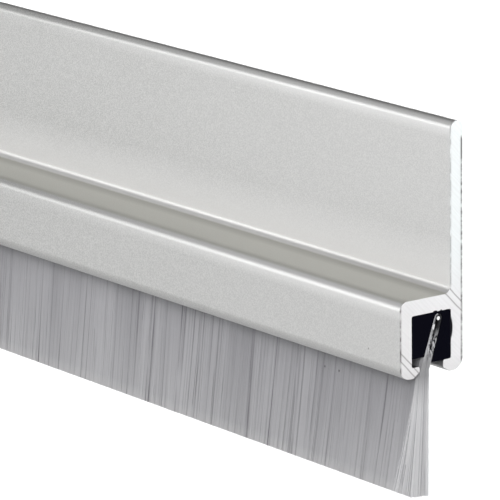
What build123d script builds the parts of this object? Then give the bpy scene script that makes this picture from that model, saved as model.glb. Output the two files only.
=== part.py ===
"""Brush seal for a door's meeting stile: an extruded aluminium holder and the bristle strip that it grips.

The origin is the middle of the back face, which lies flat on the door.
X runs along the strip, Y points out of the back face, and Z points from the bristle tips to the flange's edge.
"""

import os
from math import sin

from build123d import *

# Holder, in millimetres
strip_length = 100.0
holder_height = 25.4
flange_thickness = 1.6
flange_edge_flat = 0.1
flange_root_radius = 0.7
channel_width = 8.0
channel_height = 8.0
channel_wall = 1.5
channel_roof = 1.6
roof_edge_radius = 0.9
foot_radius = 1.25
cavity_corner_radius = 0.2
front_lip_thickness = 1.1
back_lip_thickness = 1.3
lip_reach = 1.0
lip_bevel_run = 0.8
lip_bevel_rise = 0.55
lip_tip_radius = 0.2

# Brush strip
backing_clearance = 0.05
backing_web = 0.15
backing_corner_radius = 0.3
front_jaw_lift = 0.7
wire_diameter = 0.4
fold_wrap = 0.33
fold_offset = 0.9
lip_to_pile = 0.05
mouth_thickness = 1.2
tip_thickness = 2.3
tip_offset = 1.5
bristle_projection = 12.2
trim_slant = 0.3

# Ridges that the bristles gather into, with grooves whose depth follows two waves
ridge_pitch = 0.45
root_groove = 0.14
tip_groove = 0.42
groove_mean = 0.55
quick_groove_swing = 0.3
quick_groove_step = 2.4
slow_groove_swing = 0.15
slow_groove_step = 0.83
bristle_sway = 1.2
sway_power = 2
fan_power = 120

# Levels and places that follow from the sizes
flange_edge_radius = (flange_thickness - flange_edge_flat) / 2
holder_foot = -holder_height / 2
front_lip_top = holder_foot + front_lip_thickness
back_lip_top = holder_foot + back_lip_thickness
cavity_top = holder_foot + channel_height - channel_roof
channel_middle = -channel_width / 2
front_lip_tip = -channel_width + channel_wall + lip_reach
back_lip_tip = -channel_wall - lip_reach

fold_radius = wire_diameter / 2 + fold_wrap
fold_y = channel_middle + fold_offset
fold_z = cavity_top - backing_clearance - backing_web - fold_radius
mouth_z = holder_foot + lip_bevel_rise
mouth_y = front_lip_tip + lip_to_pile + mouth_thickness / 2
tip_y = channel_middle - tip_offset
tip_z = holder_foot - bristle_projection - trim_slant / 2
trim_plane = Plane(origin=(0, tip_y, tip_z), x_dir=(1, 0, 0), z_dir=(0, trim_slant, tip_thickness))


# The holder is one extrusion: a flat flange over a channel whose lips leave a slot
with BuildPart() as holder:
    with BuildSketch(Plane.YZ) as holder_section:
        with Locations((0, holder_foot)):
            Rectangle(flange_thickness, holder_height, align=(Align.MAX, Align.MIN))
            Rectangle(channel_width, channel_height, align=(Align.MAX, Align.MIN))
        fillet(holder_section.vertices().group_by(Axis.Y)[-1], flange_edge_radius)
        fillet(holder_section.vertices().group_by(Axis.X)[0].sort_by(Axis.Y)[-1], roof_edge_radius)
        fillet(holder_section.vertices().group_by(Axis.Y)[0], foot_radius)
        flange_root = Vector(-flange_thickness, holder_foot + channel_height)
        fillet(holder_section.vertices().sort_by_distance(flange_root)[0], flange_root_radius)

        with BuildSketch(mode=Mode.SUBTRACT) as cavity:
            with Locations((-channel_wall, back_lip_top)):
                Rectangle(
                    channel_width - 2 * channel_wall,
                    cavity_top - back_lip_top,
                    align=(Align.MAX, Align.MIN),
                )
            with Locations((channel_middle, front_lip_top)):
                Rectangle(
                    channel_width / 2 - channel_wall,
                    cavity_top - front_lip_top,
                    align=(Align.MAX, Align.MIN),
                )
            cavity_columns = cavity.vertices().group_by(Axis.X)
            fillet(cavity_columns[0] + cavity_columns[-1], cavity_corner_radius)
        with BuildSketch(mode=Mode.SUBTRACT):
            with BuildLine():
                Polyline(
                    (front_lip_tip - lip_bevel_run, holder_foot),
                    (front_lip_tip, mouth_z),
                    (front_lip_tip, back_lip_top),
                    (back_lip_tip, back_lip_top),
                    (back_lip_tip, mouth_z),
                    (back_lip_tip + lip_bevel_run, holder_foot),
                    close=True,
                )
            make_face()
        slot_middle = Vector(channel_middle, (mouth_z + back_lip_top) / 2)
        lip_corners = holder_section.vertices().sort_by_distance(slot_middle)[:4]
        fillet(lip_corners, lip_tip_radius)
    extrude(amount=strip_length / 2, both=True)
holder.part.label = "aluminium_holder"


def gripped_outline():
    """Section of the bristles inside the channel: folded over the wire, leaning to the front lip."""
    with BuildSketch(mode=Mode.PRIVATE) as outline:
        with BuildLine():
            CenterArc((fold_y, fold_z), fold_radius, 0, 360)
            Line((mouth_y - mouth_thickness / 2, mouth_z), (mouth_y + mouth_thickness / 2, mouth_z))
        make_hull()
    return outline.sketch


# The backing is a plastic clip that closes over the fold and sits on the back lip
with BuildPart() as backing:
    with BuildSketch(Plane.YZ) as backing_section:
        with Locations((-channel_wall - backing_clearance, back_lip_top)):
            Rectangle(
                channel_width - 2 * channel_wall - 2 * backing_clearance,
                cavity_top - backing_clearance - back_lip_top,
                align=(Align.MAX, Align.MIN),
            )
        fillet(backing_section.vertices(), backing_corner_radius)
        with Locations((channel_middle, back_lip_top)):
            Rectangle(
                channel_width / 2,
                front_jaw_lift,
                align=(Align.MAX, Align.MIN),
                mode=Mode.SUBTRACT,
            )
        add(gripped_outline(), mode=Mode.SUBTRACT)
    extrude(amount=strip_length / 2, both=True)
backing.part.label = "brush_backing"

# The core wire runs through the fold from end to end
with BuildPart() as wire:
    with BuildSketch(Plane.YZ):
        with Locations((fold_y, fold_z)):
            Circle(wire_diameter / 2)
    extrude(amount=strip_length / 2, both=True)
wire.part.label = "core_wire"


def groove_share(index):
    """How deep one groove is, from shallow between close bristles to full where they part."""
    quick_wave = quick_groove_swing * sin(quick_groove_step * index)
    slow_wave = slow_groove_swing * sin(slow_groove_step * index)
    return groove_mean + quick_wave + slow_wave


def sway_share(along):
    """How far the bristles lean back from the strip's right end, where the last of them fan out again."""
    return along**sway_power - along**fan_power


def pile_points(thickness, groove, sway):
    """Outline of the pile at one level: crests and uneven grooves along the front, then back along the other face."""
    last = 2 * round(strip_length / ridge_pitch)
    front = []
    back = []
    for index in range(last + 1):
        along = index / last
        place = strip_length * (along - 0.5) - sway * sway_share(along)
        grooved = index % 2 == 0 and 0 < index < last
        front_groove = groove * groove_share(index) if grooved else 0
        back_groove = groove * groove_share(index + last) if grooved else 0
        front.append((place, front_groove - thickness / 2))
        back.append((place, thickness / 2 - back_groove))
    return front + back[::-1]


# The bristles are folded over the wire, pinched at the slot and fan out to a straight trimmed edge,
# which is cut at a slant so that the back ones are the longest
with BuildPart() as bristles:
    with BuildSketch(Plane((0, mouth_y, mouth_z))):
        with BuildLine():
            Polyline(*pile_points(mouth_thickness, root_groove, 0), close=True)
        make_face()
    with BuildSketch(trim_plane):
        with BuildLine():
            Polyline(*pile_points(tip_thickness, tip_groove, bristle_sway), close=True)
        make_face()
    loft(ruled=True)
    with BuildSketch(Plane.YZ):
        add(gripped_outline())
        with Locations((fold_y, fold_z)):
            Circle(wire_diameter / 2, mode=Mode.SUBTRACT)
    extrude(amount=strip_length / 2, both=True)
bristles.part.label = "bristles"

os.makedirs("parts", exist_ok=True)
for piece in (holder, backing, wire, bristles):
    export_step(piece.part, f"parts/{piece.part.label}.step")
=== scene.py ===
from math import cos, pi, radians, sin

import bpy
from mathutils import Matrix, Vector


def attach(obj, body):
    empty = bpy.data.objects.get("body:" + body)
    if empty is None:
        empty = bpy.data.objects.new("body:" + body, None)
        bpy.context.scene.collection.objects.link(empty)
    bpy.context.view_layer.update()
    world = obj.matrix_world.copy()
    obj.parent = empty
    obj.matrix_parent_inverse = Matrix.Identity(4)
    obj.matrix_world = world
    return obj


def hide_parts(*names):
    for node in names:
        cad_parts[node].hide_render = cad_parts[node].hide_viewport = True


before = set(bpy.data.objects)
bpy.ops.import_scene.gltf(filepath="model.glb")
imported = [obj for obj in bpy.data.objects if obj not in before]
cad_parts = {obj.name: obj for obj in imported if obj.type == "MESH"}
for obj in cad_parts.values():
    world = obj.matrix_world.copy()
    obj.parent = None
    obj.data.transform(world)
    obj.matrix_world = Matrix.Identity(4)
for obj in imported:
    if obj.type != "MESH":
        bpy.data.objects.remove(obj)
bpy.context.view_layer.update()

# A brush seal's finishes with some painted light and shade, its single filaments in place of the solid
# bristles, and the studio round it.
# Lengths are metres. X runs along the strip, Y points into the door and Z points to the flange's edge.
MM = 0.001

# Holder, as the solid model has it
STRIP_LENGTH = 100.0 * MM
HOLDER_HEIGHT = 25.4 * MM
FLANGE_THICKNESS = 1.6 * MM
FLANGE_EDGE_RADIUS = 0.75 * MM
CHANNEL_WIDTH = 8.0 * MM
CHANNEL_HEIGHT = 8.0 * MM
CHANNEL_WALL = 1.5 * MM
CHANNEL_ROOF = 1.6 * MM

# Levels and faces of the holder that follow from its sizes
FLANGE_TOP = HOLDER_HEIGHT / 2
HOLDER_FOOT = -HOLDER_HEIGHT / 2
ROOF = HOLDER_FOOT + CHANNEL_HEIGHT
CAVITY_TOP = ROOF - CHANNEL_ROOF
BACK_FACE = 0.0
FLANGE_FACE = -FLANGE_THICKNESS
CHANNEL_FRONT = -CHANNEL_WIDTH
CAVITY_FRONT = CHANNEL_FRONT + CHANNEL_WALL
CAVITY_BACK = -CHANNEL_WALL
EDGE_ROUND_Y = FLANGE_FACE + FLANGE_EDGE_RADIUS
EDGE_ROUND_Z = FLANGE_TOP - FLANGE_EDGE_RADIUS

# Brush strip, with the pile's tips a little inside the solid's faces
FOLD_Y = -3.1 * MM
FOLD_Z = -7.03 * MM
WIRE_RADIUS = 0.2 * MM
FOLD_SPREAD = 0.2 * MM
MOUTH_Y = -4.85 * MM
MOUTH_Z = -12.15 * MM
MOUTH_THICKNESS = 1.2 * MM
TIP_Y = -5.5 * MM
TIP_Z = -24.98 * MM
TIP_THICKNESS = 2.28 * MM
TRIM_SLANT = 0.22 * MM
TRIM_UNEVEN = 0.02 * MM

# Filaments: radii, numbers, and the points and sides of each tube
FINE_RADIUS = 0.055 * MM
INNER_RADIUS = 0.09 * MM
FINE_FILAMENTS = 5200
INNER_FILAMENTS = 2600
END_FILAMENTS = 1400
FILAMENT_POINTS = 7
FILAMENT_SIDES = 3

# Shares of a filament's points at which the fold ends and the slot is passed
FOLD_SHARE = 1.0 / 3.0
SLOT_SHARE = 0.5
LEAN_POWER = 1.25

# Clumps: rows through the pile's depth, and how far the tips drift along the strip
ROWS = 3.0
ROW_SHIFT = 0.37
DRIFT_CELLS = 130.0
DRIFT_ROW_SHIFT = 9.0
TIP_DRIFT = 1.3 * MM
CLUMP_BLUR = 0.2
CLUMP_TONE = 0.8

# Painted shade in the partings between clumps, from wide to fine: partings to a clump, width, power and
# depth of the shade
CLEFT_SCALES = ((0.6, 0.05, 1.4, 1.0), (1.35, 0.09, 1.8, 0.95), (2.9, 0.16, 1.8, 0.75))

# Each random number of a filament has its own draw
PLACE_DRAW, LAYER_DRAW, STRAY_DRAW, TONE_DRAW, TRIM_DRAW, CLUMP_DRAW = range(1, 7)

# Marks on the holder: saw scratches across its cut ends, smears of backing there, and a pit in its front.
# A smear has its middle in Y and Z, its half width and its half height.
CUT_DEPTH = 0.004 * MM
SAW_SLOPE = (0.714, 0.7)
SAW_SCRATCHES = (-4.16 * MM, -4.81 * MM, -12.52 * MM, -13.11 * MM)
BACKING_SMEARS = (
    (-1.6 * MM, -8.25 * MM, 0.33 * MM, 1.2 * MM),
    (-3.5 * MM, -6.3 * MM, 0.3 * MM, 0.12 * MM),
    (-2.75 * MM, -6.3 * MM, 0.16 * MM, 0.1 * MM),
)
FRONT_PIT = (45.0 * MM, -8.0 * MM, -10.35 * MM)

# Marks on the bristles: a painted glint on the fold at the cut end, and dark specks
FOLD_GLINT = (50.0 * MM, -3.63 * MM, -7.85 * MM)
BRISTLE_SPECKS = (
    (34.85 * MM, -5.69 * MM, -14.76 * MM),
    (37.19 * MM, -5.69 * MM, -14.73 * MM),
)

# Grains, in cells to a metre along X, Y and Z
SPECKLE_CELLS = (8500.0, 8310.0, 8500.0)
EXTRUDED_CELLS = (60.0, 2600.0, 2600.0)
CLOUD_CELLS = (55.0, 160.0, 160.0)
WOBBLE_CELLS = (300.0, 300.0, 300.0)
BURR_CELLS = (400.0, 400.0, 1400.0)
SAW_CELLS = 4200.0
MOULDED_CELLS = (900.0, 3500.0, 3500.0)
DRAWN_CELLS = (80.0, 9000.0, 9000.0)
PATCH_CELLS = (900.0, 900.0, 120.0)
BROAD_CELLS = (120.0, 40.0, 15.0)
FADING_CELLS = (1300.0, 300.0, 110.0)
BLOTCH_CELLS = (3200.0, 3600.0, 2100.0)
FLOOR_CELLS = (3.0, 3.0, 3.0)

# Colours of the satin faces, some of them painted light and shade
SATIN_DULL = (0.605, 0.61, 0.598)
SATIN_BRIGHT = (0.77, 0.77, 0.765)
SATIN_SPECKLE = (0.85, 0.85, 0.84)
FRONT_FACE_SHADE = (0.5, 0.5, 0.49)
PAINTED_ROOT_GLOW = (0.99, 0.985, 0.98)
ROOT_ROUND_SHADE = (0.82, 0.815, 0.81)
PAINTED_EDGE_HIGHLIGHT = (0.97, 0.97, 0.965)
ROOF_TINT = (0.745, 0.737, 0.665)
ROOF_SHADE = (0.60, 0.595, 0.55)
CHANNEL_INSIDE_SHADE = (0.1, 0.1, 0.11)
PIT_DARK = (0.25, 0.24, 0.23)

# Colours of the sawn ends
BARE_FRONT = (0.72, 0.715, 0.72)
BARE_BACK = (0.755, 0.75, 0.76)
BARE_FLANGE = (0.755, 0.785, 0.79)
BARE_LIPS = (0.58, 0.57, 0.57)
SAW_DARK = (0.45, 0.44, 0.44)
SCRATCH_DARK = (0.30, 0.29, 0.29)
BURR_AND_EDGE_SHADE = (0.10, 0.095, 0.095)
SMEAR_DARK = (0.004, 0.004, 0.007)

# Colours of the backing and the wire
BACKING_DARK = (0.0006, 0.0006, 0.004)
BACKING_LIGHT = (0.002, 0.002, 0.007)
WIRE_DARK = (0.62, 0.62, 0.63)
WIRE_LIGHT = (0.82, 0.82, 0.82)

# Colours of the filaments, some of them painted light and shade
FILAMENT_DARK = (0.435, 0.432, 0.455)
FILAMENT_LIGHT = (0.605, 0.602, 0.625)
TIP_LIGHT_PAINTED = (0.67, 0.668, 0.685)
CUT_EDGE_LIGHT_PAINTED = (0.78, 0.775, 0.78)
END_LIGHT_PAINTED = (0.88, 0.88, 0.895)
CLEFT_SHADE = (0.2, 0.19, 0.215)
PAINTED_ROOT_SHADE = (0.08, 0.08, 0.085)
GRIP_LIGHT_PAINTED = (0.85, 0.85, 0.88)
GRIP_DARK = (0.02, 0.02, 0.024)
GLINT_WHITE = (0.97, 0.97, 0.98)
SPECK_DARK = (0.06, 0.055, 0.06)

# Studio
FLOOR_HEIGHT = -0.20
FLOOR_REACH = 6.0
FLOOR_DARK = (0.93, 0.93, 0.93)
FLOOR_LIGHT = (0.95, 0.95, 0.95)
SKY = (0.12, 0.12, 0.12, 1.0)
MIDDLE = (0.0, 0.0, 0.0)

# Camera, from the photograph's vanishing lines
CAMERA_TARGET = Vector((18.798, -3.0, -6.081)) * MM
CAMERA_TURN = radians(53.259)
CAMERA_RISE = radians(14.006)
CAMERA_ROLL = radians(-0.708)
CAMERA_DISTANCE = 484.7 * MM
SENSOR_WIDTH_MM = 36.0
LENS_LENGTH_MM = 334.6


# Node helpers


class Tree:
    """A node tree that is filled by short calls."""

    def __init__(self, tree):
        self.tree = tree

    def add(self, kind, inputs=None, **settings):
        node = self.tree.nodes.new(kind)
        for name, value in settings.items():
            setattr(node, name, value)
        for key, value in (inputs or {}).items():
            self.put(node.inputs[key], value)
        return node

    def put(self, socket, value):
        """Links a socket to another node's output, or sets its value."""
        if isinstance(value, bpy.types.NodeSocket):
            self.tree.links.new(value, socket)
        elif isinstance(value, bpy.types.Node):
            self.tree.links.new(value.outputs[0], socket)
        else:
            socket.default_value = value

    def math(self, operation, a, b=0.0, c=0.0, clamp=False):
        node = self.add("ShaderNodeMath", operation=operation, use_clamp=clamp)
        for socket, value in zip(node.inputs, (a, b, c)):
            self.put(socket, value)
        return node.outputs[0]

    def times(self, first, *others):
        """The product of all the values."""
        for other in others:
            first = self.math("MULTIPLY", first, other)
        return first

    def plus(self, first, *others):
        """The sum of all the values."""
        for other in others:
            first = self.math("ADD", first, other)
        return first

    def remap(self, value, low, high, to_low=0.0, to_high=1.0):
        node = self.add("ShaderNodeMapRange", clamp=True)
        names = ("Value", "From Min", "From Max", "To Min", "To Max")
        for name, entry in zip(names, (value, low, high, to_low, to_high)):
            self.put(node.inputs[name], entry)
        return node.outputs[0]

    def fade(self, value, place, start, full, most=1.0):
        """A mask that starts, and is full, so many millimetres from a place."""
        return self.remap(value, place + start * MM, place + full * MM, 0.0, most)

    def blend(self, share, a, b):
        """a where share is 0 and b where it is 1."""
        return self.math("MULTIPLY_ADD", share, self.math("SUBTRACT", b, a), a)

    def apart(self, value, place):
        """How far a value is from a place, either way."""
        return self.math("ABSOLUTE", self.math("SUBTRACT", value, place))

    def distance(self, point, place):
        node = self.add("ShaderNodeVectorMath", {0: point, 1: place}, operation="DISTANCE")
        return node.outputs["Value"]

    def noise_along(self, place, detail):
        """Noise along one line."""
        inputs = {"W": place, "Scale": 1.0, "Detail": detail}
        return self.add("ShaderNodeTexNoise", inputs, noise_dimensions="1D").outputs["Fac"]

    def own_number(self, place):
        """A number from 0 to 1 that belongs to one value."""
        return self.add("ShaderNodeTexWhiteNoise", {"W": place}, noise_dimensions="1D").outputs["Value"]

    def attribute(self, name):
        return self.add("ShaderNodeAttribute", attribute_name=name).outputs["Fac"]

    def mix(self, share, first, second):
        """The first colour where share is 0 and the second where it is 1."""
        node = self.add("ShaderNodeMix", data_type="RGBA")
        self.put(node.inputs["Factor"], share)
        for socket, value in ((node.inputs[6], first), (node.inputs[7], second)):
            self.put(socket, value if not isinstance(value, tuple) else (*value, 1.0))
        return node.outputs[2]

    def coats(self, colour, *coats):
        """Lays each coat over the ones before it, by the coat's own mask."""
        for share, coat in coats:
            colour = self.mix(share, colour, coat)
        return colour

    def bump(self, strength, distance, height):
        return self.add("ShaderNodeBump", {"Strength": strength, "Distance": distance, "Height": height})


def new_material(name):
    """A new material, its tree, its shader's inputs and the object's own coordinates."""
    material = bpy.data.materials.new(name)
    material.use_nodes = True
    material.node_tree.nodes.clear()
    tree = Tree(material.node_tree)
    shader = tree.add("ShaderNodeBsdfPrincipled")
    out = tree.add("ShaderNodeOutputMaterial")
    tree.put(out.inputs["Surface"], shader.outputs["BSDF"])
    point = tree.add("ShaderNodeTexCoord").outputs["Object"]
    return material, tree, shader.inputs, point


def grain_group():
    """Shader node group: noise with so many cells to a metre along X, Y and Z."""
    group = bpy.data.node_groups.new("stretched_grain", "ShaderNodeTree")
    group.interface.new_socket("Point", in_out="INPUT", socket_type="NodeSocketVector")
    group.interface.new_socket("Stretch", in_out="INPUT", socket_type="NodeSocketVector")
    group.interface.new_socket("Detail", in_out="INPUT", socket_type="NodeSocketFloat")
    group.interface.new_socket("Grain", in_out="OUTPUT", socket_type="NodeSocketFloat")
    tree = Tree(group)
    given = tree.add("NodeGroupInput").outputs
    stretched = {0: given["Point"], 1: given["Stretch"]}
    scaled = tree.add("ShaderNodeVectorMath", stretched, operation="MULTIPLY")
    noise = tree.add("ShaderNodeTexNoise", {"Vector": scaled, "Scale": 1.0, "Detail": given["Detail"]})
    tree.put(tree.add("NodeGroupOutput").inputs["Grain"], noise.outputs["Fac"])
    return group


stretched_grain = grain_group()


def stretched_noise(tree, point, cells, detail):
    """The grain of one material, on the object's own coordinates."""
    inputs = {"Point": point, "Stretch": cells, "Detail": detail}
    return tree.add("ShaderNodeGroup", node_tree=stretched_grain, inputs=inputs).outputs["Grain"]


# Materials


def satin_colour(tree, point, x, y, z, speckle):
    """Anodised faces with cloudy tone and speckle. Painted light makes them paler towards the right end,
    above the flange's root and on the rounded edges; painted shade darkens the channel's front face, the
    root's round, the roof by the root and by the front edge, and the channel's inner faces. The roof has a
    warmer tint.
    """
    clouds = stretched_noise(tree, point, CLOUD_CELLS, 3.0)
    # Painted light: the satin faces grow paler towards the strip's right end, over their cloudy tone
    drift = tree.remap(x, -20.0 * MM, STRIP_LENGTH / 2, 0.0, 0.6)
    drift = tree.math("MULTIPLY_ADD", clouds, 0.4, drift)

    # Painted light: the flange is paler just above its root
    painted_root_glow = tree.times(
        tree.fade(z, ROOF, -0.5, 0.0),
        tree.fade(z, ROOF, 5.7, 0.4),
        tree.fade(y, FLANGE_FACE, -1.0, -0.2),
        tree.fade(y, FLANGE_FACE, 1.4, 0.6),
        0.92,
    )
    # Painted shade in the flange's root round, towards the right end
    painted_root_round_shade = tree.times(
        tree.fade(y, FLANGE_FACE, 0.2, 0.05),
        tree.fade(y, FLANGE_FACE, -0.8, -0.7),
        tree.fade(z, ROOF, -0.2, -0.05),
        tree.fade(z, ROOF, 0.75, 0.6),
        tree.remap(x, 22.0 * MM, 42.0 * MM, 0.0, 0.85),
    )
    # Painted highlights on the roof's front edge and the flange's top edge, stronger towards the right
    roof_edge = tree.times(tree.fade(y, CHANNEL_FRONT, 1.1, 0.6), tree.fade(z, ROOF, -2.0, -0.7))
    flange_edge = tree.times(tree.fade(y, FLANGE_FACE, 0.6, 0.2), tree.fade(z, FLANGE_TOP, -1.8, -0.7))
    painted_edge_highlight = tree.times(
        tree.math("MAXIMUM", roof_edge, flange_edge),
        tree.remap(x, -22.0 * MM, 25.0 * MM, 0.15, 0.85),
    )
    on_roof = tree.times(
        tree.remap(tree.apart(z, ROOF), 0.2 * MM, 0.05 * MM),
        tree.fade(y, FLANGE_FACE, -0.3, -0.6),
    )
    by_root = tree.fade(y, FLANGE_FACE, -2.1, -1.0, 0.75)
    by_edge = tree.fade(y, CHANNEL_FRONT, 1.45, 0.95, 0.4)
    # Painted shade on the channel's inner faces, deeper away from its mouth
    inside = tree.times(
        tree.fade(y, CAVITY_FRONT, -0.06, 0.04),
        tree.fade(y, CAVITY_BACK, 0.06, -0.04),
        tree.fade(z, CAVITY_TOP, 0.06, -0.04),
        tree.fade(z, HOLDER_FOOT, 0.2, 1.1, 0.8),
    )
    pit = tree.remap(tree.distance(point, FRONT_PIT), 0.14 * MM, 0.06 * MM, 0.0, 0.6)
    return tree.coats(
        tree.mix(drift, SATIN_DULL, SATIN_BRIGHT),
        (tree.remap(speckle, 0.35, 0.7), SATIN_SPECKLE),
        # Painted shade: the channel's front face a little darker
        (tree.fade(y, CHANNEL_FRONT, 0.7, 0.1, 0.13), FRONT_FACE_SHADE),
        (painted_root_glow, PAINTED_ROOT_GLOW),
        (painted_root_round_shade, ROOT_ROUND_SHADE),
        (painted_edge_highlight, PAINTED_EDGE_HIGHLIGHT),
        (tree.times(on_roof, 0.65), ROOF_TINT),
        (tree.times(on_roof, tree.math("MAXIMUM", by_root, by_edge)), ROOF_SHADE),
        (inside, CHANNEL_INSIDE_SHADE),
        (pit, PIT_DARK),
    )


def burrs_and_edge_shade(tree, point, y, z):
    """Mask of the dark lines along a cut end, burrs with painted edge shade: broken at the front and back,
    whole round the flange's top, and painted shade along its rounded edge.
    """
    burr = stretched_noise(tree, point, BURR_CELLS, 2.0)
    burr = tree.remap(burr, 0.35, 0.6, 0.25, 1.0)
    front_rim = tree.fade(y, CHANNEL_FRONT, 0.28, 0.1)
    back_rim = tree.times(tree.fade(y, BACK_FACE, -0.32, -0.14), tree.fade(z, FLANGE_TOP, -1.5, -1.9))
    flange_rim = tree.times(
        tree.remap(tree.apart(y, FLANGE_FACE + 0.06 * MM), 0.16 * MM, 0.06 * MM),
        tree.fade(z, ROOF, 0.3, 0.8),
        0.55,
    )
    rim = tree.math("MAXIMUM", tree.math("MAXIMUM", front_rim, back_rim), flange_rim)

    back_top = tree.times(back_rim, tree.fade(z, FLANGE_TOP, -4.3, -3.9))
    above = tree.math("MAXIMUM", tree.math("SUBTRACT", z, EDGE_ROUND_Z), 0.0)
    ahead = tree.math("MINIMUM", tree.math("SUBTRACT", y, EDGE_ROUND_Y), 0.0)
    from_middle = tree.math("SQRT", tree.math("MULTIPLY_ADD", above, above, tree.times(ahead, ahead)))
    # Painted shade along the flange's rounded top edge at the cut
    painted_round_edge_shade = tree.times(
        tree.fade(from_middle, FLANGE_EDGE_RADIUS, -0.15, -0.05),
        tree.fade(y, EDGE_ROUND_Y, 0.0, -0.3),
        tree.fade(z, EDGE_ROUND_Z, -1.25, -0.35),
        0.8,
    )
    return tree.math("MAXIMUM", tree.times(rim, burr), tree.math("MAXIMUM", back_top, painted_round_edge_shade))


def bare_colour(tree, point, y, z, saw, saw_place):
    """Sawn ends: bright metal with saw marks, scratches, burrs with painted edge shade, and smears of
    backing.
    """
    scratch = 0.0
    for place in SAW_SCRATCHES:
        line = tree.remap(tree.apart(saw_place, place), 0.1 * MM, 0.03 * MM)
        scratch = tree.math("MAXIMUM", scratch, line)
    smear = 0.0
    for middle_y, middle_z, half_width, half_height in BACKING_SMEARS:
        off_y = tree.math("DIVIDE", tree.math("SUBTRACT", y, middle_y), half_width)
        off_z = tree.math("DIVIDE", tree.math("SUBTRACT", z, middle_z), half_height)
        off = tree.math("SQRT", tree.math("MULTIPLY_ADD", off_y, off_y, tree.times(off_z, off_z)))
        smear = tree.math("MAXIMUM", smear, tree.remap(off, 1.1, 0.8))
    return tree.coats(
        tree.mix(tree.remap(y, CHANNEL_FRONT, BACK_FACE), BARE_FRONT, BARE_BACK),
        (tree.fade(z, ROOF, -1.3, 3.7), BARE_FLANGE),
        (tree.fade(z, HOLDER_FOOT, 1.5, 0.3, 0.3), BARE_LIPS),
        (tree.remap(saw, 0.62, 0.35, 0.0, 0.16), SAW_DARK),
        (tree.times(scratch, 0.75), SCRATCH_DARK),
        # Burrs along the cut's edges, with painted shade at them
        (tree.times(burrs_and_edge_shade(tree, point, y, z), 0.85), BURR_AND_EDGE_SHADE),
        (smear, SMEAR_DARK),
    )


def anodised_metal():
    """Satin anodised aluminium, with bare sawn metal on the two cut ends."""
    material, tree, shader, point = new_material("anodised_aluminium")
    x, y, z = tree.add("ShaderNodeSeparateXYZ", {0: point}).outputs
    sawn = tree.math("GREATER_THAN", tree.math("ABSOLUTE", x), STRIP_LENGTH / 2 - CUT_DEPTH)
    speckle = stretched_noise(tree, point, SPECKLE_CELLS, 1.0)
    grain = stretched_noise(tree, point, EXTRUDED_CELLS, 3.0)

    # The saw cut at a slant, with a slight wobble
    slope_y, slope_z = SAW_SLOPE
    across = tree.math("MULTIPLY_ADD", y, slope_y, tree.times(z, slope_z))
    wobble = stretched_noise(tree, point, WOBBLE_CELLS, 2.0)
    saw_place = tree.math("MULTIPLY_ADD", tree.math("SUBTRACT", wobble, 0.5), 0.3 * MM, across)
    saw = tree.noise_along(tree.times(saw_place, SAW_CELLS), 3.0)

    satin = satin_colour(tree, point, x, y, z, speckle)
    bare = bare_colour(tree, point, y, z, saw, saw_place)
    tree.put(shader["Base Color"], tree.mix(sawn, satin, bare))
    tree.put(shader["Metallic"], tree.blend(sawn, 0.85, 1.0))

    satin_rough = tree.math("MULTIPLY_ADD", grain, 0.06, 0.46)
    satin_rough = tree.math("MULTIPLY_ADD", speckle, 0.06, satin_rough)
    bare_rough = tree.math("MULTIPLY_ADD", saw, 0.2, 0.42)
    tree.put(shader["Roughness"], tree.blend(sawn, satin_rough, bare_rough))

    satin_height = tree.math("MULTIPLY_ADD", grain, 0.35, tree.times(speckle, 0.65))
    height = tree.blend(sawn, satin_height, tree.times(saw, 1.6))
    tree.put(shader["Normal"], tree.bump(0.25, 0.012 * MM, height))
    return material


def black_plastic():
    """Matt black backing with a fine moulded texture."""
    material, tree, shader, point = new_material("black_plastic")
    grain = stretched_noise(tree, point, MOULDED_CELLS, 3.0)
    tree.put(shader["Base Color"], tree.mix(grain, BACKING_DARK, BACKING_LIGHT))
    tree.put(shader["Roughness"], tree.math("MULTIPLY_ADD", grain, 0.25, 0.5))
    shader["Specular IOR Level"].default_value = 0.03
    tree.put(shader["Normal"], tree.bump(0.3, 0.03 * MM, grain))
    return material


def steel_wire():
    """Bright drawn wire with lengthwise die marks."""
    material, tree, shader, point = new_material("steel_wire")
    drawn = stretched_noise(tree, point, DRAWN_CELLS, 2.0)
    tree.put(shader["Base Color"], tree.mix(drawn, WIRE_DARK, WIRE_LIGHT))
    tree.put(shader["Roughness"], tree.math("MULTIPLY_ADD", drawn, 0.15, 0.22))
    shader["Metallic"].default_value = 1.0
    return material


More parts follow.
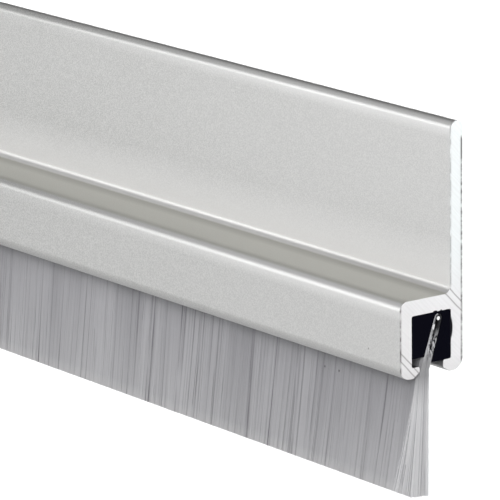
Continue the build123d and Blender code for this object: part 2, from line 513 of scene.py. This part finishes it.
def grey_filament():
    """Grey polymer filament: each has its own tone, with painted shade where it leaves the grip and in the
    partings, and painted light towards the tip and on the pile's end.
    """
    material, tree, shader, point = new_material("grey_filament")
    x, _, z = tree.add("ShaderNodeSeparateXYZ", {0: point}).outputs
    tone = tree.attribute("tone")
    behind_front = tree.attribute("behind_front")

    patch = stretched_noise(tree, point, PATCH_CELLS, 2.0)
    broad = tree.math("SUBTRACT", stretched_noise(tree, point, BROAD_CELLS, 1.0), 0.5)
    broad = tree.times(broad, tree.remap(z, HOLDER_FOOT, TIP_Z, 0.0, 2.5))
    broad = tree.plus(broad, tree.remap(x, 15.0 * MM, 45.0 * MM, -0.04, -0.2))
    shade = tree.math("MULTIPLY_ADD", patch, 0.25, tree.times(tone, 0.75))
    shade = tree.math("ADD", shade, broad, clamp=True)

    # Painted light: paler towards the tips and at the trimmed edge
    tip = tree.times(tree.remap(z, HOLDER_FOOT - 3.0 * MM, TIP_Z), 0.7)
    # Painted light on the filaments at the pile's end
    own_end_light = tree.math("MULTIPLY_ADD", tone, 0.9, 0.4)
    pale = tree.math("MULTIPLY", tree.attribute("pale"), own_end_light, clamp=True)
    # Painted shade in the partings, fading in and out along them
    fading = stretched_noise(tree, point, FADING_CELLS, 2.0)
    cleft = tree.times(tree.attribute("cleft"), tree.remap(fading, 0.32, 0.62, 0.1, 1.0))
    # Painted shade on the filaments just under the channel's foot
    root = tree.times(tree.math("POWER", tree.fade(z, HOLDER_FOOT, -3.5, 0.0), 1.6), 0.5)

    # Inside the backing the cut filament ends get painted light, and those behind the front ones are darker
    # in blotches and wholly dark towards the fold
    gripped = tree.fade(z, MOUTH_Z, 0.8, 2.0)
    blotches = stretched_noise(tree, point, BLOTCH_CELLS, 3.0)
    grip_darkening = tree.math("MAXIMUM", tree.remap(blotches, 0.56, 0.44), tree.fade(z, FOLD_Z, -2.4, -0.9))
    # A painted glint on the fold at the cut end
    painted_glint = tree.remap(tree.distance(point, FOLD_GLINT), 0.34 * MM, 0.22 * MM)

    colour = tree.coats(
        tree.mix(shade, FILAMENT_DARK, FILAMENT_LIGHT),
        (tip, TIP_LIGHT_PAINTED),
        (tree.fade(z, TIP_Z, 1.3, 0.0, 0.6), CUT_EDGE_LIGHT_PAINTED),
        (pale, END_LIGHT_PAINTED),
        (cleft, CLEFT_SHADE),
        (root, PAINTED_ROOT_SHADE),
        (tree.times(gripped, 0.6), GRIP_LIGHT_PAINTED),
        (tree.times(gripped, tree.times(behind_front, grip_darkening)), GRIP_DARK),
        (painted_glint, GLINT_WHITE),
    )
    for speck in BRISTLE_SPECKS:
        away = tree.distance(point, speck)
        colour = tree.mix(tree.remap(away, 0.17 * MM, 0.08 * MM, 0.0, 0.7), colour, SPECK_DARK)
    tree.put(shader["Base Color"], colour)

    dull = tree.times(gripped, behind_front, 0.45)
    tree.put(shader["Roughness"], tree.plus(tree.math("MULTIPLY_ADD", patch, 0.2, 0.35), dull))
    return material


# Bristles


def keep(tree, geometry, name, value):
    """Stores a value on each point."""
    node = tree.add("GeometryNodeStoreNamedAttribute", data_type="FLOAT", domain="POINT")
    tree.put(node.inputs["Geometry"], geometry)
    node.inputs["Name"].default_value = name
    tree.put(node.inputs["Value"], value)
    return node.outputs["Geometry"]


def kept(tree, name):
    node = tree.add("GeometryNodeInputNamedAttribute", data_type="FLOAT")
    node.inputs["Name"].default_value = name
    return node.outputs["Attribute"]


def parting_shade(tree, given, root_x, row):
    """Painted shade: how dark each filament is for lying at a parting between clumps. Each parting has its
    own depth of shade.
    """
    cleft = 0.0
    for pitch, width, power, most in CLEFT_SCALES:
        parting = tree.math("MULTIPLY_ADD", tree.times(root_x, given["Clumps"]), pitch, row)
        border = tree.add(
            "ShaderNodeTexVoronoi",
            {"W": parting, "Scale": 1.0},
            voronoi_dimensions="1D",
            feature="DISTANCE_TO_EDGE",
        ).outputs["Distance"]
        own = tree.own_number(tree.math("FLOOR", tree.plus(parting, 0.5)))
        depth = tree.times(tree.math("POWER", own, power), most)
        depth = tree.times(depth, tree.remap(border, width, width * 0.25))
        cleft = tree.math("MAXIMUM", cleft, depth)
    return tree.times(cleft, given["Cleft"])


def scattered_points(tree, given):
    """One point for each filament, which keeps its root, its tip, its depth in the pile, its tones and its
    painted end light and parting shade.
    """

    def chance(low, high, draw):
        """A random number for each filament."""
        node = tree.add("FunctionNodeRandomValue", data_type="FLOAT")
        node.inputs[2].default_value = low
        node.inputs[3].default_value = high
        tree.put(node.inputs["Seed"], tree.plus(given["Seed"], float(draw)))
        return node.outputs[1]

    index = tree.add("GeometryNodeInputIndex").outputs[0]
    order = tree.math("DIVIDE", tree.plus(index, chance(0.0, 1.0, PLACE_DRAW)), given["Count"])
    share = tree.blend(order, given["From"], given["To"])
    reach = tree.math("SUBTRACT", STRIP_LENGTH, tree.times(given["Radius"], 2.0))
    root_x = tree.times(tree.math("SUBTRACT", share, 0.5), reach)
    layer = tree.blend(chance(0.0, 1.0, LAYER_DRAW), given["Nearest"], given["Farthest"])

    # Tips sway back along the strip, fan out at its end, gather into clumps, drift and stray
    fan = tree.times(tree.math("SUBTRACT", order, 1.0), given["Fan"])
    sway = tree.math("SUBTRACT", fan, tree.times(share, share, given["Sway"]))
    row = tree.times(tree.math("FLOOR", tree.times(layer, ROWS)), ROW_SHIFT)
    cell_place = tree.plus(tree.times(root_x, given["Clumps"]), row)
    cell_place = tree.plus(cell_place, chance(-CLUMP_BLUR, CLUMP_BLUR, CLUMP_DRAW))
    cell = tree.add("ShaderNodeTexVoronoi", {"W": cell_place, "Scale": 1.0}, voronoi_dimensions="1D")
    cell_x = tree.math("DIVIDE", tree.math("SUBTRACT", cell.outputs["W"], row), given["Clumps"])
    cell_tone = tree.own_number(cell.outputs["W"])
    gather = tree.times(tree.math("SUBTRACT", cell_x, root_x), given["Gather"])
    gather = tree.times(gather, tree.times(cell_tone, cell_tone))
    drift_place = tree.math("MULTIPLY_ADD", root_x, DRIFT_CELLS, tree.times(row, DRIFT_ROW_SHIFT))
    drift = tree.times(tree.math("SUBTRACT", tree.noise_along(drift_place, 1.0), 0.5), TIP_DRIFT)
    stray = tree.times(chance(-1.0, 1.0, STRAY_DRAW), given["Stray"])
    lean = tree.plus(sway, tree.plus(gather, tree.plus(drift, stray)))
    half = tree.times(reach, 0.5)
    tip_x = tree.math("MINIMUM", tree.plus(root_x, lean), half)
    tip_x = tree.math("MAXIMUM", tip_x, tree.times(half, -1.0))

    points = tree.add("GeometryNodePoints", {"Count": given["Count"]}).outputs[0]
    for name, value in (
        ("root_x", root_x),
        ("tip_x", tip_x),
        ("layer", layer),
        ("tone", tree.blend(CLUMP_TONE, chance(0.0, 1.0, TONE_DRAW), cell_tone)),
        # Painted light on the filaments at the pile's end
        ("pale", tree.times(given["Pale"], tree.remap(order, 0.0, 0.1, 1.4, 1.0))),
        # Painted shade in the partings
        ("cleft", parting_shade(tree, given, root_x, row)),
        ("behind_front", tree.remap(tree.times(layer, given["Side"]), -0.8, -0.2)),
        ("trim", chance(0.0, TRIM_UNEVEN, TRIM_DRAW)),
    ):
        points = keep(tree, points, name, value)
    return points


def strand_place(tree, given):
    """Where each point of a strand lies: over the wire, down to the slot, then out to the tip."""
    along = tree.add("GeometryNodeSplineParameter").outputs["Factor"]
    turn = tree.remap(along, 0.0, FOLD_SHARE)
    down = tree.remap(along, FOLD_SHARE, SLOT_SHARE)
    out = tree.remap(along, SLOT_SHARE, 1.0)
    depth = tree.times(kept(tree, "layer"), given["Side"])

    close = tree.math("MULTIPLY_ADD", given["Radius"], 1.1, WIRE_RADIUS)
    wrap = tree.math("MULTIPLY_ADD", tree.math("ABSOLUTE", kept(tree, "layer")), FOLD_SPREAD, close)
    angle = tree.times(turn, pi / 2)
    fold_side = tree.times(tree.times(wrap, tree.math("SINE", angle)), tree.math("SIGN", depth))
    fold_y = tree.plus(fold_side, FOLD_Y)
    fold_z = tree.math("MULTIPLY_ADD", wrap, tree.math("COSINE", angle), FOLD_Z)

    mouth_reach = tree.math("SUBTRACT", MOUTH_THICKNESS / 2, given["Radius"])
    mouth_y = tree.math("MULTIPLY_ADD", depth, mouth_reach, MOUTH_Y)

    tip_reach = tree.math("SUBTRACT", TIP_THICKNESS / 2, given["Radius"])
    tip_y = tree.math("MULTIPLY_ADD", depth, tip_reach, TIP_Y)
    trimmed = tree.plus(kept(tree, "trim"), TIP_Z - TRIM_SLANT / 2)
    tip_z = tree.math("MULTIPLY_ADD", given["Radius"], 0.35, trimmed)
    tip_z = tree.math("MULTIPLY_ADD", depth, -TRIM_SLANT / 2, tip_z)

    x = tree.blend(tree.math("POWER", out, LEAN_POWER), kept(tree, "root_x"), kept(tree, "tip_x"))
    y = tree.blend(out, tree.blend(down, fold_y, mouth_y), tip_y)
    z = tree.blend(out, tree.blend(down, fold_z, MOUTH_Z), tip_z)
    return tree.add("ShaderNodeCombineXYZ", {"X": x, "Y": y, "Z": z})


def filament_tree(material):
    """Geometry nodes for filaments folded over the wire, through the slot, to the trimmed edge."""
    group = bpy.data.node_groups.new("folded_filaments", "GeometryNodeTree")
    for name, kind, value in (
        ("Count", "NodeSocketInt", 2000),
        ("Seed", "NodeSocketInt", 1),
        ("Side", "NodeSocketFloat", -1.0),
        ("From", "NodeSocketFloat", 0.0),
        ("To", "NodeSocketFloat", 1.0),
        ("Nearest", "NodeSocketFloat", 0.9),
        ("Farthest", "NodeSocketFloat", 1.0),
        ("Radius", "NodeSocketFloat", FINE_RADIUS),
        ("Sway", "NodeSocketFloat", 1.0 * MM),
        ("Fan", "NodeSocketFloat", 0.0),
        ("Clumps", "NodeSocketFloat", 400.0),
        # Strength of the painted shade in the partings
        ("Cleft", "NodeSocketFloat", 1.0),
        ("Gather", "NodeSocketFloat", 0.09),
        ("Stray", "NodeSocketFloat", 0.03 * MM),
        # Share of painted light on the filaments at the pile's end
        ("Pale", "NodeSocketFloat", 0.0),
    ):
        group.interface.new_socket(name, in_out="INPUT", socket_type=kind).default_value = value
    group.interface.new_socket("Geometry", in_out="OUTPUT", socket_type="NodeSocketGeometry")
    tree = Tree(group)
    given = tree.add("NodeGroupInput").outputs

    straight = tree.add("GeometryNodeCurvePrimitiveLine", {"End": (0.0, 0.0, -1.0)})
    steps = tree.add("GeometryNodeResampleCurve", {"Curve": straight, "Count": FILAMENT_POINTS})
    points = scattered_points(tree, given)
    placed = tree.add("GeometryNodeInstanceOnPoints", {"Points": points, "Instance": steps})
    strands = tree.add("GeometryNodeRealizeInstances", {"Geometry": placed})
    place = strand_place(tree, given)
    bent = tree.add("GeometryNodeSetPosition", {"Geometry": strands, "Position": place})

    circle = {"Resolution": FILAMENT_SIDES, "Radius": given["Radius"]}
    ring = tree.add("GeometryNodeCurvePrimitiveCircle", circle)
    swept = {"Curve": bent, "Profile Curve": ring, "Fill Caps": True}
    tubes = tree.add("GeometryNodeCurveToMesh", swept)
    smooth = tree.add("GeometryNodeSetShadeSmooth", {"Geometry": tubes})
    whole = tree.add("GeometryNodeRealizeInstances", {"Geometry": smooth})
    coated = tree.add("GeometryNodeSetMaterial", {"Geometry": whole, "Material": material})
    tree.put(tree.add("NodeGroupOutput").inputs["Geometry"], coated)
    return group


def grow_filaments(name, group, **values):
    """Runs the geometry nodes once and returns a plain mesh object."""
    carrier = bpy.data.objects.new(name + "_carrier", bpy.data.meshes.new(name + "_carrier"))
    bpy.context.scene.collection.objects.link(carrier)
    modifier = carrier.modifiers.new("filaments", "NODES")
    modifier.node_group = group
    for item in group.interface.items_tree:
        if item.in_out == "INPUT" and item.name in values:
            modifier[item.identifier] = values[item.name]
    depsgraph = bpy.context.evaluated_depsgraph_get()
    mesh = bpy.data.meshes.new_from_object(carrier.evaluated_get(depsgraph), depsgraph=depsgraph)
    mesh.name = name
    carrier.modifiers.clear()
    bpy.data.objects.remove(carrier)
    piece = bpy.data.objects.new(name, mesh)
    bpy.context.scene.collection.objects.link(piece)
    return piece


filaments = filament_tree(grey_filament())
between_ends = {"From": 0.004, "To": 0.994}
outer = {"Count": FINE_FILAMENTS, **between_ends}
front_filaments = grow_filaments("front_filaments", filaments, Seed=11, Side=-1.0, **outer)
back_filaments = grow_filaments("back_filaments", filaments, Seed=47, Side=1.0, **outer)
inner = {"Count": INNER_FILAMENTS, "Nearest": 0.02, "Farthest": 0.8, "Radius": INNER_RADIUS, **between_ends}
front_inner = grow_filaments("front_inner_filaments", filaments, Seed=83, Side=-1.0, **inner)
back_inner = grow_filaments("back_inner_filaments", filaments, Seed=129, Side=1.0, **inner)
end = {"Count": END_FILAMENTS, "Side": -1.0, "Nearest": -1.0, "Gather": 0.0, "Sway": 0.0}
# The fanned filaments at the pile's end carry painted light, and less painted shade in their partings
fanned = {"From": 0.995, "To": 1.0, "Fan": 2.7 * MM, "Pale": 0.85, "Clumps": 30000.0, "Cleft": 0.3}
right_end = grow_filaments("right_end_filaments", filaments, Seed=211, **fanned, **end)
left_end = grow_filaments("left_end_filaments", filaments, Seed=307, From=0.0, To=0.006, **end)
for piece in (front_filaments, back_filaments, front_inner, back_inner, right_end, left_end):
    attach(piece, "root")
    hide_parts("bristles")

for node, material in (
    ("aluminium_holder", anodised_metal()),
    ("brush_backing", black_plastic()),
    ("core_wire", steel_wire()),
):
    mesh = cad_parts[node].data
    mesh.materials.clear()
    mesh.materials.append(material)


# Floor, light and camera


def pale_floor(height, reach):
    material, tree, shader, point = new_material("pale_floor")
    soft = stretched_noise(tree, point, FLOOR_CELLS, 2.0)
    tree.put(shader["Base Color"], tree.mix(soft, FLOOR_DARK, FLOOR_LIGHT))
    tree.put(shader["Roughness"], tree.math("MULTIPLY_ADD", soft, 0.05, 0.9))
    mesh = bpy.data.meshes.new("floor")
    corners = [(-reach, -reach), (reach, -reach), (reach, reach), (-reach, reach)]
    mesh.from_pydata([(*corner, height) for corner in corners], [], [(0, 1, 2, 3)])
    mesh.materials.append(material)
    floor = bpy.data.objects.new("floor", mesh)
    bpy.context.scene.collection.objects.link(floor)


def softbox(name, radiance, size, place, target=MIDDLE, spread=180.0):
    """A soft rectangular light, as wide and high as its size, that faces its target."""
    width, height = size
    lamp = bpy.data.lights.new(name, "AREA")
    lamp.shape = "RECTANGLE"
    lamp.energy = radiance * pi * width * height
    lamp.size = width
    lamp.size_y = height
    lamp.spread = radians(spread)
    thing = bpy.data.objects.new(name, lamp)
    bpy.context.scene.collection.objects.link(thing)
    thing.visible_camera = False
    thing.location = place
    thing.rotation_mode = "QUATERNION"
    thing.rotation_quaternion = (Vector(target) - Vector(place)).to_track_quat("-Z", "Y")


def photo_camera():
    """The camera at the photograph's viewing angle."""
    back = Vector((
        sin(CAMERA_TURN) * cos(CAMERA_RISE),
        -cos(CAMERA_TURN) * cos(CAMERA_RISE),
        sin(CAMERA_RISE),
    ))
    level = Vector((cos(CAMERA_TURN), sin(CAMERA_TURN), 0.0))
    upright = back.cross(level)
    right = level * cos(CAMERA_ROLL) + upright * sin(CAMERA_ROLL)
    up = upright * cos(CAMERA_ROLL) - level * sin(CAMERA_ROLL)
    lens = bpy.data.cameras.new("camera")
    lens.sensor_width = SENSOR_WIDTH_MM
    lens.lens = LENS_LENGTH_MM
    lens.clip_start = 0.01
    lens.clip_end = 50.0
    camera = bpy.data.objects.new("camera", lens)
    bpy.context.scene.collection.objects.link(camera)
    turned = Matrix((right, up, back)).transposed().to_4x4()
    camera.matrix_world = Matrix.Translation(CAMERA_TARGET + back * CAMERA_DISTANCE) @ turned
    return camera


pale_floor(FLOOR_HEIGHT, FLOOR_REACH)
world = bpy.data.worlds.new("studio")
world.use_nodes = True
world.node_tree.nodes["Background"].inputs["Color"].default_value = SKY
bpy.context.scene.world = world
softbox("behind", 1.22, (1.0, 1.0), (-0.75, 0.62, 0.55), target=(-0.75, 0.62, 0.0), spread=60.0)
softbox("front_left", 2.92, (0.8, 0.45), (-0.66, -1.0, 0.17))
softbox("front_left_low", 0.84, (0.7, 0.3), (-0.66, -1.0, 0.0))
softbox("front_left_high", 0.33, (0.8, 0.5), (-0.62, -0.48, 1.0))
softbox("left_high", 0.42, (0.6, 0.5), (-1.0, -0.1, 0.85))
softbox("front_right", 5.8, (0.6, 0.6), (0.8, -0.9, 0.5))
softbox("back_right", 4.3, (0.6, 0.5), (0.8, 0.58, 0.10), target=(0.05, -0.004, 0.0))
bpy.context.scene.camera = photo_camera()
bpy.context.scene.view_settings.view_transform = "Standard"
